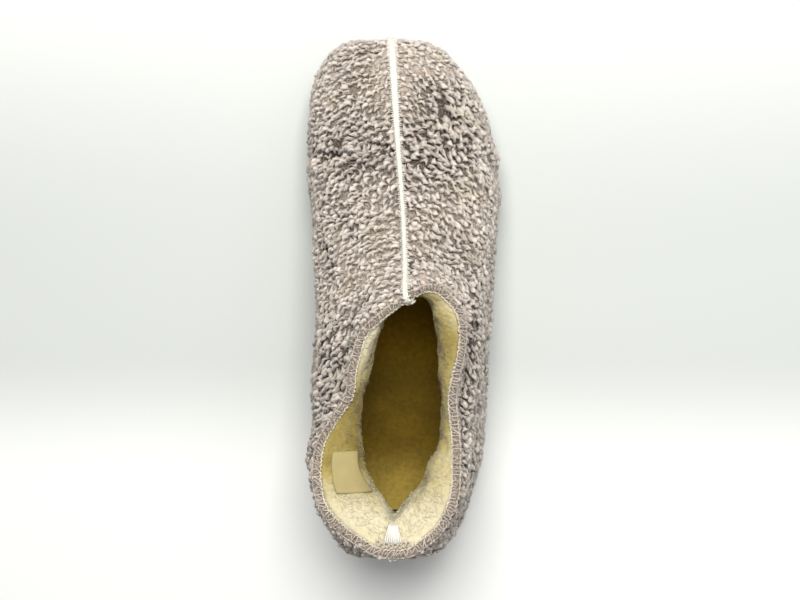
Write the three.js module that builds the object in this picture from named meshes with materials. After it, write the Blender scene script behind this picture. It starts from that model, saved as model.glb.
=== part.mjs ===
// Right-foot slipper boot: a soft ankle-high upper of curly fleece, sewn from two halves along the
// front and the back, on a plain flexible outsole, with a wool insole and a corded seam.
// Millimetres. +Y points to the toe, +X to the outer (little-toe) side, +Z up. The origin is on the
// floor, below the middle of the boot.
import * as THREE from "three";

// Driving dimensions
const shoeLength = 276; // toe to heel, over the fleece
const ballWidth = 105; // across the ball, over the fleece
const collarHeight = 118; // floor to the collar at the heel
const wallThickness = 7; // fleece and lining together
const collarWall = 5; // the same wall where the edge stitching draws it in
const collarCrown = 2; // how far the stitched edge is rounded up over its two corners
const outsoleThickness = 6;
const outsoleEdge = 2.5; // rounding of the outsole's lower edge
const outsoleLip = 1; // how far the outsole stands out past the upper's bottom edge
const archLift = 1.5; // height of the outsole's waist over the floor
const toeSpring = 6; // lift of the outsole's tip
const heelSpring = 1.5; // lift of the outsole's back edge
const insoleThickness = 7;
const seatGap = 0.3; // clearance between pieces that lie on each other
const cordWidth = 3.6; // seam cord, across
const cordHeight = 2.6; // seam cord, standing up from the seam
const cordEndInset = 3; // cord's end to the edge of the upper
const grooveDepth = 1.4; // the seam draws the fleece in by this much
const grooveHalfWidth = 3.4;
const labelLength = 20; // along the collar
const labelDrop = 22; // down into the boot
const labelThickness = 0.6;
const labelCollarGap = 9; // label's top edge to the collar
const labelFromHeel = 40; // middle of the label to the collar's back end, along the boot

// Resolution of the faceted surfaces
const columnsPerSide = 36; // ribs from the front seam round to the back seam, on each side
const rowsPerRing = 4; // rows between two rings of the table
const cordSides = 8;
const arcSamples = 240; // points that measure each ring's length

// Rings that go once round the boot, from the bottom edge to the collar. front and back are shares
// of shoeLength from the origin; half (half width) and axis (middle line) are shares of ballWidth;
// height is a share of collarHeight; each list runs evenly from the ring's front to its back.
// roundness squares off the ring's front and back end as it falls from 1; seamTurn is the angle, in
// degrees to the inner side, at which the front seam crosses the ring.
const rings = [
  { name: "bottom edge", front: 0.481, back: -0.482, roundness: [0.5, 0.38], seamTurn: -0.1,
    half: [0.47, 0.49, 0.45, 0.405, 0.4, 0.395, 0.355],
    axis: [-0.08, -0.026, 0.01, 0.008, 0.002, 0.008, 0.012], height: null },
  { name: "lower side", front: 0.496, back: -0.495, roundness: [0.5, 0.36], seamTurn: -0.1,
    half: [0.515, 0.53, 0.488, 0.443, 0.434, 0.428, 0.385],
    axis: [-0.084, -0.026, 0.012, 0.01, 0.002, 0.01, 0.012],
    height: [0.144, 0.138, 0.134, 0.132, 0.13, 0.13, 0.13] },
  { name: "widest", front: 0.5, back: -0.499, roundness: [0.5, 0.25], seamTurn: -0.1,
    half: [0.528, 0.542, 0.5, 0.454, 0.446, 0.44, 0.38],
    axis: [-0.084, -0.024, 0.012, 0.011, 0, -0.001, -0.009],
    height: [0.238, 0.232, 0.23, 0.235, 0.245, 0.26, 0.26] },
  { name: "shoulder", front: 0.485, back: -0.5, roundness: [0.52, 0.24], seamTurn: -0.1,
    half: [0.49, 0.515, 0.475, 0.438, 0.435, 0.43, 0.366],
    axis: [-0.07, -0.022, 0.008, 0.008, -0.004, -0.006, -0.012],
    height: [0.38, 0.38, 0.39, 0.41, 0.43, 0.46, 0.46] },
  { name: "crown", front: 0.436, back: -0.5, roundness: [0.58, 0.24], seamTurn: 0,
    half: [0.385, 0.44, 0.43, 0.41, 0.42, 0.41, 0.342],
    axis: [-0.04, -0.012, 0.004, 0.002, -0.016, -0.018, -0.018],
    height: [0.485, 0.49, 0.52, 0.57, 0.615, 0.64, 0.65] },
  { name: "instep", front: 0.305, back: -0.498, roundness: [0.64, 0.26], seamTurn: 0,
    half: [0.28, 0.34, 0.36, 0.375, 0.4, 0.395, 0.323],
    axis: [-0.016, -0.002, 0.006, -0.008, -0.032, -0.03, -0.026],
    height: [0.555, 0.59, 0.64, 0.7, 0.75, 0.78, 0.79] },
  { name: "ankle", front: 0.135, back: -0.493, roundness: [0.7, 0.32], seamTurn: 2,
    half: [0.21, 0.27, 0.31, 0.33, 0.385, 0.39, 0.304],
    axis: [0.042, 0.028, 0.012, -0.012, -0.044, -0.044, -0.034],
    height: [0.69, 0.735, 0.775, 0.81, 0.845, 0.865, 0.875] },
  { name: "collar", front: 0.004, back: -0.486, roundness: [0.72, 0.58], seamTurn: 22,
    half: [0.18, 0.27, 0.305, 0.295, 0.28, 0.27, 0.305, 0.345, 0.365, 0.38, 0.375, 0.33, 0.22],
    axis: [0.165, 0.135, 0.085, 0.06, 0.035, 0.02, -0.012, -0.038, -0.048, -0.046, -0.042, -0.024, -0.01],
    height: [0.92, 0.925, 0.9, 0.885, 0.905, 0.95, 0.98] },
];

// The outsole's underside along the boot: place is a share from toe to heel, lift a share of its
// named height, with a flat tread under the forefoot and one under the heel.
const tread = {
  toeEnd: 0.22,
  forefootEnd: 0.48,
  heelStart: 0.66,
  heelEnd: 0.93,
};

// A curve through evenly spaced values, read at a share from 0 to 1.
function alongList(values, share) {
  const last = values.length - 1;
  const place = THREE.MathUtils.clamp(share, 0, 1) * last;
  const start = Math.min(Math.floor(place), last - 1);
  const t = place - start;
  const a = values[Math.max(start - 1, 0)];
  const b = values[start];
  const c = values[start + 1];
  const d = values[Math.min(start + 2, last)];
  return 0.5 * (2 * b + (c - a) * t + (2 * a - 5 * b + 4 * c - d) * t * t + (3 * b - a - 3 * c + d) * t * t * t);
}

// Height of the outsole's underside at a share of the way from toe to heel.
function undersideHeight(share) {
  if (share < tread.toeEnd) {
    return toeSpring * (1 - share / tread.toeEnd) ** 2;
  }
  if (share > tread.forefootEnd && share < tread.heelStart) {
    const across = (share - tread.forefootEnd) / (tread.heelStart - tread.forefootEnd);
    return archLift * Math.sin(Math.PI * across) ** 2;
  }
  if (share > tread.heelEnd) {
    return heelSpring * ((share - tread.heelEnd) / (1 - tread.heelEnd)) ** 2;
  }
  return 0;
}

function shareFromToe(y) {
  return THREE.MathUtils.clamp(0.5 - y / shoeLength, 0, 1);
}

// Height of the outsole's top at a place along the boot.
function outsoleTop(y) {
  return undersideHeight(shareFromToe(y)) + outsoleThickness;
}

// A point of one ring. angle is 0 at the ring's front and grows round the outer side.
function ringPoint(ring, angle) {
  const share = (1 - Math.cos(angle)) / 2;
  const y = THREE.MathUtils.lerp(ring.front, ring.back, share) * shoeLength;
  const half = alongList(ring.half, share) * ballWidth;
  const sine = Math.sin(angle);
  const roundness = THREE.MathUtils.lerp(...ring.roundness, share);
  const x = alongList(ring.axis, share) * ballWidth
    + Math.sign(sine) * half * Math.abs(sine) ** roundness;
  const z = ring.height === null ? outsoleTop(y) + seatGap : alongList(ring.height, share) * collarHeight;
  return new THREE.Vector3(x, y, z);
}

// One side of a ring as a chain of points from the front seam to the back seam, with its length.
function measureSide(ring, side) {
  const seamAngle = -THREE.MathUtils.degToRad(ring.seamTurn);
  const endAngle = side * Math.PI;
  const points = [];
  const lengths = [0];
  for (let i = 0; i <= arcSamples; i += 1) {
    // samples are crowded towards the ends, where a squared ring turns fastest
    const t = i / arcSamples;
    const eased = t * t * (3 - 2 * t);
    points.push(ringPoint(ring, seamAngle + (endAngle - seamAngle) * eased));
    if (i > 0) {
      lengths.push(lengths[i - 1] + points[i].distanceTo(points[i - 1]));
    }
  }
  return { points, lengths, total: lengths[arcSamples] };
}

const measured = new Map();
for (const ring of rings) {
  measured.set(ring, { 1: measureSide(ring, 1), [-1]: measureSide(ring, -1) });
}

// The point of a ring's side at a distance from the front seam, measured along the ring.
function pointAtLength(chain, length) {
  const goal = THREE.MathUtils.clamp(length, 0, chain.total);
  let low = 0;
  let high = arcSamples;
  while (high - low > 1) {
    const middle = (low + high) >> 1;
    if (chain.lengths[middle] <= goal) {
      low = middle;
    } else {
      high = middle;
    }
  }
  const step = chain.lengths[high] - chain.lengths[low];
  return chain.points[low].clone().lerp(chain.points[high], step > 0 ? (goal - chain.lengths[low]) / step : 0);
}

// Distance along a ring to a column. The first and last columns stand at the seam grooves' edges,
// and the others share the rest evenly.
function columnLength(chain, column) {
  if (column <= 1) {
    return column * grooveHalfWidth;
  }
  if (column >= columnsPerSide - 1) {
    return chain.total - (columnsPerSide - column) * grooveHalfWidth;
  }
  const free = chain.total - 2 * grooveHalfWidth;
  return grooveHalfWidth + (free * (column - 1)) / (columnsPerSide - 2);
}

// A rib of the outer surface: the curve that runs up through every ring at one column. Each rib is
// worked out once.
const ribs = new Map();
function rib(side, column) {
  const key = `${side} ${column}`;
  if (!ribs.has(key)) {
    const points = rings.map((ring) => {
      const chain = measured.get(ring)[side];
      return pointAtLength(chain, columnLength(chain, column));
    });
    ribs.set(key, new THREE.CatmullRomCurve3(points, false, "centripetal"));
  }
  return ribs.get(key);
}

// Outer surface: point and outward normal at a side, a column and a share of the way up.
function surface(side, column, up) {
  const step = 0.3;
  const rise = 0.004;
  const point = rib(side, column).getPoint(up);
  const ahead = rib(side, Math.min(column + step, columnsPerSide)).getPoint(up);
  const behind = column < step && column > 0
    ? rib(side, 0).getPoint(up)
    : rib(column === 0 ? -side : side, Math.abs(column - step)).getPoint(up);
  const across = ahead.sub(behind);
  if (column === columnsPerSide) {
    across.copy(rib(-side, column - step).getPoint(up).sub(behind));
  }
  const upper = rib(side, column).getPoint(Math.min(up + rise, 1));
  const lower = rib(side, column).getPoint(Math.max(up - rise, 0));
  const normal = upper.sub(lower).cross(across).normalize().multiplyScalar(side);
  return { point, normal };
}

// Depth of the seam groove at a column.
function grooveAt(column) {
  const fromSeam = Math.min(column, columnsPerSide - column);
  return fromSeam < 1 ? grooveDepth * (1 - fromSeam) : 0;
}

// Wall thickness, which the edge stitching draws in over the last ring.
function wallAt(up) {
  const fromCollar = THREE.MathUtils.clamp((1 - up) * (rings.length - 1), 0, 1);
  return THREE.MathUtils.lerp(collarWall, wallThickness, fromCollar);
}

function outerPoint(side, column, up) {
  const { point, normal } = surface(side, column, up);
  return point.addScaledVector(normal, -grooveAt(column) * Math.min(1, up * rings.length));
}

function innerPoint(side, column, up, lift = 0) {
  const { point, normal } = surface(side, column, up);
  if (up === 0) {
    normal.setZ(0).normalize();
  }
  point.addScaledVector(normal, -wallAt(up) - lift);
  if (up === 0) {
    point.z = outsoleTop(point.y) + seatGap;
  }
  return point;
}

// Visits the columns once round the boot, from the front seam along the outer side and back along
// the inner side.
function aroundBoot(place) {
  const loop = [];
  for (let column = 0; column <= columnsPerSide; column += 1) {
    loop.push(place(1, column));
  }
  for (let column = columnsPerSide - 1; column > 0; column -= 1) {
    loop.push(place(-1, column));
  }
  return loop;
}

// A closed mesh from rows of points of equal length. Each row is a closed loop. The last row joins
// the first when ring is true, and otherwise a cap closes each end.
function meshFromLoops(loops, { ring = false, ladder = false } = {}) {
  const width = loops[0].length;
  const positions = loops.flat().flatMap((p) => [p.x, p.y, p.z]);
  const faces = [];
  const bands = ring ? loops.length : loops.length - 1;
  for (let row = 0; row < bands; row += 1) {
    const next = (row + 1) % loops.length;
    for (let i = 0; i < width; i += 1) {
      const j = (i + 1) % width;
      const a = row * width + i;
      const b = row * width + j;
      const c = next * width + j;
      const d = next * width + i;
      faces.push(a, b, c, a, c, d);
    }
  }
  if (!ring) {
    for (const [start, flip] of [[0, true], [(loops.length - 1) * width, false]]) {
      for (const [i, j, k] of ladder ? ladderFaces(width) : fanFaces(width)) {
        faces.push(start + i, start + (flip ? k : j), start + (flip ? j : k));
      }
    }
  }
  const geometry = new THREE.BufferGeometry();
  geometry.setAttribute("position", new THREE.Float32BufferAttribute(positions, 3));
  geometry.setIndex(faces);
  return facingOut(geometry);
}

function fanFaces(width) {
  return Array.from({ length: width - 2 }, (_, i) => [0, i + 1, i + 2]);
}

// Cross strips between the two sides of a loop that starts and turns back at its two ends, which
// suit a long or thin cap better than a fan.
function ladderFaces(width) {
  const faces = [];
  for (let i = 0; i < width / 2; i += 1) {
    const right = i;
    const nextRight = i + 1;
    const left = (width - i) % width;
    const nextLeft = width - i - 1;
    if (left !== right) {
      faces.push([right, nextRight, left]);
    }
    if (nextLeft !== nextRight) {
      faces.push([left, nextRight, nextLeft]);
    }
  }
  return faces;
}

// Turns the faces round if they enclose a negative volume.
function facingOut(geometry) {
  const p = geometry.getAttribute("position");
  const index = geometry.getIndex().array;
  const [a, b, c] = [new THREE.Vector3(), new THREE.Vector3(), new THREE.Vector3()];
  let volume = 0;
  for (let i = 0; i < index.length; i += 3) {
    a.fromBufferAttribute(p, index[i]);
    b.fromBufferAttribute(p, index[i + 1]);
    c.fromBufferAttribute(p, index[i + 2]);
    volume += a.dot(b.cross(c));
  }
  if (volume < 0) {
    for (let i = 0; i < index.length; i += 3) {
      [index[i + 1], index[i + 2]] = [index[i + 2], index[i + 1]];
    }
  }
  geometry.computeVertexNormals();
  return geometry;
}

const rows = (rings.length - 1) * rowsPerRing;

// Upper: one hollow wall, open at the collar and underneath.
function makeUpper() {
  const loops = [];
  for (let row = 0; row <= rows; row += 1) {
    loops.push(aroundBoot((side, column) => outerPoint(side, column, row / rows)));
  }
  loops.push(aroundBoot((side, column) => {
    const edge = outerPoint(side, column, 1).lerp(innerPoint(side, column, 1), 0.5);
    edge.z += collarCrown;
    return edge;
  }));
  for (let row = rows; row >= 0; row -= 1) {
    loops.push(aroundBoot((side, column) => innerPoint(side, column, row / rows)));
  }
  return meshFromLoops(loops, { ring: true });
}

// One loop of the outsole or insole: the upper's bottom edge drawn in by inset, column by column.
function soleLoop(inset, heightAt) {
  return aroundBoot((side, column) => {
    const { point, normal } = surface(side, column, 0);
    point.addScaledVector(normal.setZ(0).normalize(), -inset);
    return point.setZ(heightAt(point.y));
  });
}

// Outsole: rounded lower edge, flat treads under forefoot and heel, raised waist and toe.
function makeOutsole() {
  const underside = (y) => undersideHeight(shareFromToe(y));
  return meshFromLoops([
    soleLoop(outsoleEdge - outsoleLip, underside),
    soleLoop(0.3 * outsoleEdge - outsoleLip, (y) => underside(y) + 0.3 * outsoleEdge),
    soleLoop(-outsoleLip, (y) => underside(y) + outsoleEdge),
    soleLoop(-outsoleLip, outsoleTop),
  ], { ladder: true });
}

// Insole: a soft footbed inside the wall, on the outsole.
function makeInsole() {
  const edge = wallThickness + seatGap;
  const rounding = 0.3 * insoleThickness;
  return meshFromLoops([
    soleLoop(edge, (y) => outsoleTop(y) + seatGap),
    soleLoop(edge, (y) => outsoleTop(y) + seatGap + insoleThickness - rounding),
    soleLoop(edge + rounding, (y) => outsoleTop(y) + seatGap + insoleThickness),
  ], { ladder: true });
}

// A cord that lies in the groove of the front or back seam, with a station at each row of the upper
// so that it keeps its clearance.
function makeCord(column) {
  const loops = [];
  const frames = [];
  for (let row = 0; row <= rows; row += 1) {
    const { normal } = surface(1, column, row / rows);
    frames.push({ seat: outerPoint(1, column, row / rows), normal });
  }
  for (const [end, next] of [[0, 1], [rows, rows - 1]]) {
    const span = frames[end].seat.distanceTo(frames[next].seat);
    frames[end].seat.lerp(frames[next].seat, Math.min(cordEndInset / span, 0.8));
  }
  frames.forEach(({ seat, normal }, i) => {
    const before = frames[Math.max(i - 1, 0)].seat;
    const after = frames[Math.min(i + 1, rows)].seat;
    const along = after.clone().sub(before).normalize();
    const out = normal.clone().addScaledVector(along, -normal.dot(along)).normalize();
    const across = along.clone().cross(out);
    const middle = seat.clone().addScaledVector(out, seatGap + cordHeight / 2);
    const loop = [];
    for (let k = 0; k < cordSides; k += 1) {
      const turn = (2 * Math.PI * k) / cordSides;
      loop.push(middle.clone()
        .addScaledVector(across, (cordWidth / 2) * Math.cos(turn))
        .addScaledVector(out, (cordHeight / 2) * Math.sin(turn)));
    }
    loops.push(loop);
  });
  return meshFromLoops(loops);
}

// The column at which a row of the lining reaches a place along the boot.
function columnAt(side, up, y) {
  let [low, high] = [1, columnsPerSide - 1];
  for (let i = 0; i < 12; i += 1) {
    const middle = (low + high) / 2;
    if (innerPoint(side, middle, up).y > y) {
      low = middle;
    } else {
      high = middle;
    }
  }
  return low;
}

// Bare label sewn flat on the lining, on the inner side near the heel.
function makeLabel() {
  const side = -1;
  const [along, down] = [8, 6];
  const middleY = rings.at(-1).back * shoeLength + labelFromHeel;
  const ribLength = rib(side, columnAt(side, 1, middleY)).getLength();
  const places = [];
  for (let j = 0; j <= down; j += 1) {
    const up = 1 - (labelCollarGap + (labelDrop * j) / down) / ribLength;
    places.push(Array.from({ length: along + 1 }, (_, i) => {
      const y = middleY + (0.5 - i / along) * labelLength;
      return { column: columnAt(side, up, y), up };
    }));
  }
  const patch = (lift) => places.map((row) => row.map(({ column, up }) => innerPoint(side, column, up, lift)));
  return meshFromLoops(slabLoops(patch(seatGap), patch(seatGap + labelThickness)), { ladder: true });
}

// Loops that wrap a thin slab: each loop runs along one row of the back face and returns on the front.
function slabLoops(back, front) {
  return back.map((row, j) => [...row, ...[...front[j]].reverse()]);
}

const fleece = new THREE.MeshStandardMaterial({ color: "#b5a89b", roughness: 0.95, metalness: 0 });
const creamWool = new THREE.MeshStandardMaterial({ color: "#e6dcbe", roughness: 0.95, metalness: 0 });
const whiteCotton = new THREE.MeshStandardMaterial({ color: "#f6f2e8", roughness: 0.85, metalness: 0 });
const softRubber = new THREE.MeshStandardMaterial({ color: "#8d8378", roughness: 0.8, metalness: 0 });
const satin = new THREE.MeshStandardMaterial({ color: "#ded6b4", roughness: 0.5, metalness: 0 });

function piece(name, geometry, material) {
  const mesh = new THREE.Mesh(geometry, material);
  mesh.name = name;
  return mesh;
}

const boot = new THREE.Group();
boot.add(
  piece("outsole", makeOutsole(), softRubber),
  piece("insole", makeInsole(), creamWool),
  piece("upper", makeUpper(), fleece),
  piece("front_seam_cord", makeCord(0), whiteCotton),
  piece("back_seam_cord", makeCord(columnsPerSide), whiteCotton),
  piece("lining_label", makeLabel(), satin),
);

export default boot;
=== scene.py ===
# Right-foot slipper boot of curly fleece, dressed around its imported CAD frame.
import functools
import math

import bmesh
import bpy
import numpy as np
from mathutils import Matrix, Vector


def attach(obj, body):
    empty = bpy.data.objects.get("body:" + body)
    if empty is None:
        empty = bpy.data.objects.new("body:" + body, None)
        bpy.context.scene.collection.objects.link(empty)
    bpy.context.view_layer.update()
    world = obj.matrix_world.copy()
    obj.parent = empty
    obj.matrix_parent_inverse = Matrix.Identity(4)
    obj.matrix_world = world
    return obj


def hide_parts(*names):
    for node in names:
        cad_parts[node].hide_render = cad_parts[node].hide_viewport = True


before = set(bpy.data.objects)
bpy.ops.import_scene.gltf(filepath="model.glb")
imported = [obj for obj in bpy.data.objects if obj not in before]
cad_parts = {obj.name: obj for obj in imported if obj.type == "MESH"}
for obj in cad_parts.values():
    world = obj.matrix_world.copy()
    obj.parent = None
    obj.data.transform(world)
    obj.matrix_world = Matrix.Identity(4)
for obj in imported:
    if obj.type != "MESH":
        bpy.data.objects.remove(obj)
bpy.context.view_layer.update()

mm = 0.001
collection = bpy.context.scene.collection


def table(columns, rows):
    return [dict(zip(columns.split(), row)) for row in rows]


# The boot's form, in millimetres, as in the part: +Y toe, +X little-toe side, +Z up
boot = {
    "length": 276.0,
    "ballWidth": 105.0,
    "collarHeight": 118.0,
    "wall": 7.0,
    "collarWall": 5.0,
    "collarCrown": 2.0,
    "soleThickness": 6.0,
    "archLift": 1.5,
    "toeSpring": 6.0,
    "heelSpring": 1.5,
    "seatGap": 0.3,
    "grooveDepth": 1.4,
    "grooveHalfWidth": 3.4,
    "ribs": 36,  # from the front seam to the back seam, on each side
}

# Rings from the bottom edge to the collar, in shares of the length, the ball's width and the height
bootRings = [
    {"name": "bottom edge", "front": 0.481, "back": -0.482, "roundness": (0.5, 0.38), "seamTurn": -0.1,
     "half": (0.47, 0.49, 0.45, 0.405, 0.4, 0.395, 0.355),
     "axis": (-0.08, -0.026, 0.01, 0.008, 0.002, 0.008, 0.012), "height": None},
    {"name": "lower side", "front": 0.496, "back": -0.495, "roundness": (0.5, 0.36), "seamTurn": -0.1,
     "half": (0.515, 0.53, 0.488, 0.443, 0.434, 0.428, 0.385),
     "axis": (-0.084, -0.026, 0.012, 0.01, 0.002, 0.01, 0.012),
     "height": (0.144, 0.138, 0.134, 0.132, 0.13, 0.13, 0.13)},
    {"name": "widest", "front": 0.5, "back": -0.499, "roundness": (0.5, 0.25), "seamTurn": -0.1,
     "half": (0.528, 0.542, 0.5, 0.454, 0.446, 0.44, 0.38),
     "axis": (-0.084, -0.024, 0.012, 0.011, 0, -0.001, -0.009),
     "height": (0.238, 0.232, 0.23, 0.235, 0.245, 0.26, 0.26)},
    {"name": "shoulder", "front": 0.485, "back": -0.5, "roundness": (0.52, 0.24), "seamTurn": -0.1,
     "half": (0.49, 0.515, 0.475, 0.438, 0.435, 0.43, 0.366),
     "axis": (-0.07, -0.022, 0.008, 0.008, -0.004, -0.006, -0.012),
     "height": (0.38, 0.38, 0.39, 0.41, 0.43, 0.46, 0.46)},
    {"name": "crown", "front": 0.436, "back": -0.5, "roundness": (0.58, 0.24), "seamTurn": 0,
     "half": (0.385, 0.44, 0.43, 0.41, 0.42, 0.41, 0.342),
     "axis": (-0.04, -0.012, 0.004, 0.002, -0.016, -0.018, -0.018),
     "height": (0.485, 0.49, 0.52, 0.57, 0.615, 0.64, 0.65)},
    {"name": "instep", "front": 0.305, "back": -0.498, "roundness": (0.64, 0.26), "seamTurn": 0,
     "half": (0.28, 0.34, 0.36, 0.375, 0.4, 0.395, 0.323),
     "axis": (-0.016, -0.002, 0.006, -0.008, -0.032, -0.03, -0.026),
     "height": (0.555, 0.59, 0.64, 0.7, 0.75, 0.78, 0.79)},
    {"name": "ankle", "front": 0.135, "back": -0.493, "roundness": (0.7, 0.32), "seamTurn": 2,
     "half": (0.21, 0.27, 0.31, 0.33, 0.385, 0.39, 0.304),
     "axis": (0.042, 0.028, 0.012, -0.012, -0.044, -0.044, -0.034),
     "height": (0.69, 0.735, 0.775, 0.81, 0.845, 0.865, 0.875)},
    {"name": "collar", "front": 0.004, "back": -0.486, "roundness": (0.72, 0.58), "seamTurn": 22,
     "half": (0.18, 0.27, 0.305, 0.295, 0.28, 0.27, 0.305, 0.345, 0.365, 0.38, 0.375, 0.33, 0.22),
     "axis": (0.165, 0.135, 0.085, 0.06, 0.035, 0.02, -0.012, -0.038, -0.048, -0.046, -0.042, -0.024, -0.01),
     "height": (0.92, 0.925, 0.9, 0.885, 0.905, 0.95, 0.98)},
]


def alongList(values, share):
    # a smooth curve through evenly spaced values
    values = np.asarray(values, float)
    last = len(values) - 1
    place = np.clip(share, 0, 1) * last
    start = np.minimum(np.floor(place).astype(int), last - 1)
    t = place - start
    a = values[np.maximum(start - 1, 0)]
    b = values[start]
    c = values[start + 1]
    d = values[np.minimum(start + 2, last)]
    return 0.5 * (2 * b + (c - a) * t + (2 * a - 5 * b + 4 * c - d) * t ** 2 + (3 * b - a - 3 * c + d)
                  * t ** 3)


def undersideHeight(y):
    # toe spring, flat tread, arch, flat tread, heel spring
    share = np.clip(0.5 - np.asarray(y, float) / boot["length"], 0, 1)
    toe = boot["toeSpring"] * (1 - share / 0.22) ** 2
    arch = boot["archLift"] * np.sin(np.pi * (share - 0.48) / 0.18) ** 2
    heel = boot["heelSpring"] * ((share - 0.93) / 0.07) ** 2
    inArch = (share > 0.48) & (share < 0.66)
    return np.where(share < 0.22, toe, np.where(inArch, arch, np.where(share > 0.93, heel, 0)))


def ringPoints(ring, angle):
    share = (1 - np.cos(angle)) / 2
    y = (ring["front"] + (ring["back"] - ring["front"]) * share) * boot["length"]
    half = alongList(ring["half"], share) * boot["ballWidth"]
    roundness = ring["roundness"][0] + (ring["roundness"][1] - ring["roundness"][0]) * share
    sine = np.sin(angle)
    x = alongList(ring["axis"], share) * boot["ballWidth"] + np.sign(sine) * half * np.abs(sine) ** roundness
    if ring["height"] is None:
        z = undersideHeight(y) + boot["soleThickness"] + boot["seatGap"]
    else:
        z = alongList(ring["height"], share) * boot["collarHeight"]
    return np.stack([x, y, z], -1)


def ringCrossings(ring, side, around):
    # where each rib, at a share of the way from the front seam to the back seam, crosses a ring
    t = np.linspace(0, 1, 241)
    ribs = np.asarray(around, float) * boot["ribs"]
    edge = boot["grooveHalfWidth"]
    start = -math.radians(ring["seamTurn"])
    chain = ringPoints(ring, start + (side * math.pi - start) * t * t * (3 - 2 * t))
    length = lengthAlong(chain)
    middle = edge + (length[-1] - 2 * edge) * (ribs - 1) / (boot["ribs"] - 2)
    last = length[-1] - (boot["ribs"] - ribs) * edge
    place = np.where(ribs <= 1, ribs * edge, np.where(ribs >= boot["ribs"] - 1, last, middle))
    return resample(place, length, chain)


def ribCurves(side, around):
    return np.stack([ringCrossings(ring, side, around) for ring in bootRings])


def climbRibs(crossings, up):
    # centripetal spline up each rib; up runs from 0 at the sole to 1 at the collar
    count = len(crossings)
    place = np.asarray(up, float) * (count - 1)
    start = np.minimum(np.floor(place).astype(int), count - 2)
    w = (place - start)[:, None, None]
    padded = np.concatenate([[2 * crossings[0] - crossings[1]], crossings,
                             [2 * crossings[-1] - crossings[-2]]])
    a, b, c, d = (padded[start + k] for k in range(4))
    before, here, after = (np.maximum(np.sum((q - p) ** 2, -1) ** 0.25, 1e-9)[..., None]
                           for p, q in ((a, b), (b, c), (c, d)))
    leave = ((b - a) / before - (c - a) / (before + here) + (c - b) / here) * here
    arrive = ((c - b) / here - (d - b) / (here + after) + (d - c) / after) * here
    square = (3 * (c - b) - 2 * leave - arrive) * w ** 2
    return b + leave * w + square + (2 * (b - c) + leave + arrive) * w ** 3


def lengthAlong(path):
    steps = np.linalg.norm(np.diff(path, axis=0), axis=1)
    return np.concatenate([[0], np.cumsum(steps)])


def resample(places, length, values):
    # values along a path, taken again at other places along it
    return np.stack([np.interp(places, length, values[:, k]) for k in range(values.shape[1])], -1)


def unit(vectors):
    return vectors / np.maximum(np.linalg.norm(vectors, axis=-1, keepdims=True), 1e-9)


def gridNormals(points, up, closed):
    # outward normals of a grid that runs round the boot in one direction and up or down in the other
    if closed:
        across = np.roll(points, -1, 1) - np.roll(points, 1, 1)
    else:
        across = np.gradient(points, axis=1)
    climb = np.gradient(points, axis=0) * np.sign(up[-1] - up[0])
    return unit(np.cross(climb, across))


def seamCloseness(around):
    # 1 on a seam, 0 from the groove's edge on
    fromSeam = np.minimum(around, 1 - around) * boot["ribs"]
    return np.clip(1 - fromSeam, 0, 1)


def bootLoop(ribsPerSide, up):
    # the outer surface all round: points, outward normals, side and place around for each column
    around = np.linspace(0, 1, ribsPerSide + 1)
    outerSide = climbRibs(ribCurves(1, around), up)
    innerSide = climbRibs(ribCurves(-1, around), up)
    points = np.concatenate([outerSide, innerSide[:, -2:0:-1]], 1)
    sides = np.concatenate([np.ones(ribsPerSide + 1), -np.ones(ribsPerSide - 1)])
    arounds = np.concatenate([around, around[-2:0:-1]])
    return points, gridNormals(points, up, True), sides, arounds


def wallAt(up):
    # the stitching draws the wall in below the collar
    fromCollar = np.clip((1 - up) * (len(bootRings) - 1), 0, 1)
    return boot["collarWall"] + (boot["wall"] - boot["collarWall"]) * fromCollar


# Soft folds, placed from the photograph: share around, share up, in order along the fold
folds = table("name side depth width path", (
    ("toe fold", -1, 5.6, 3.0, ((0.24, 0.58), (0.178, 0.65), (0.128, 0.664), (0.078, 0.72), (0.03, 0.755))),
    ("toe tip dent", -1, 2.2, 3.0, ((0.12, 0.47), (0.09, 0.486), (0.05, 0.505))),
    ("throat fold", 1, 2.4, 3.2, ((0.02, 0.95), (0.06, 0.945), (0.11, 0.93), (0.16, 0.88))),
    ("inner side pocket", -1, 2.8, 4.5, ((0.375, 0.62), (0.362, 0.68), (0.352, 0.74))),
    ("outer ankle trough", 1, 2.8, 3.4,
     ((0.46, 0.70), (0.49, 0.75), (0.5, 0.80), (0.507, 0.88), (0.53, 0.935), (0.6, 0.95))),
    ("outer ankle lower trough", 1, 2.0, 4.0, ((0.66, 0.54), (0.70, 0.56), (0.735, 0.62), (0.76, 0.70))),
    ("inner ankle trough", -1, 2.6, 3.6,
     ((0.16, 0.95), (0.24, 0.93), (0.285, 0.935), (0.32, 0.95), (0.36, 0.95))),
    ("inner instep sag", -1, 1.4, 5.0, ((0.25, 0.71), (0.19, 0.79), (0.12, 0.82))),
    ("outer toe dent", 1, 1.2, 5.0, ((0.06, 0.6), (0.11, 0.6), (0.16, 0.61))),
    ("heel crush outer", 1, 1.8, 5.5, ((0.99, 0.45), (0.9, 0.5), (0.8, 0.47))),
    ("heel crush inner", -1, 1.8, 5.5, ((0.98, 0.56), (0.88, 0.6), (0.76, 0.56))),
    ("inner flex fold", -1, 1.6, 4.5, ((0.3, 0.3), (0.29, 0.42), (0.26, 0.5))),
    ("outer flex fold", 1, 1.5, 4.5, ((0.33, 0.28), (0.31, 0.42), (0.27, 0.52))),
    ("inner quarter sag", -1, 1.6, 6.0, ((0.5, 0.5), (0.58, 0.62), (0.62, 0.78))),
    ("outer quarter sag", 1, 1.4, 6.0, ((0.58, 0.3), (0.62, 0.42), (0.6, 0.52))),
))


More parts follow.
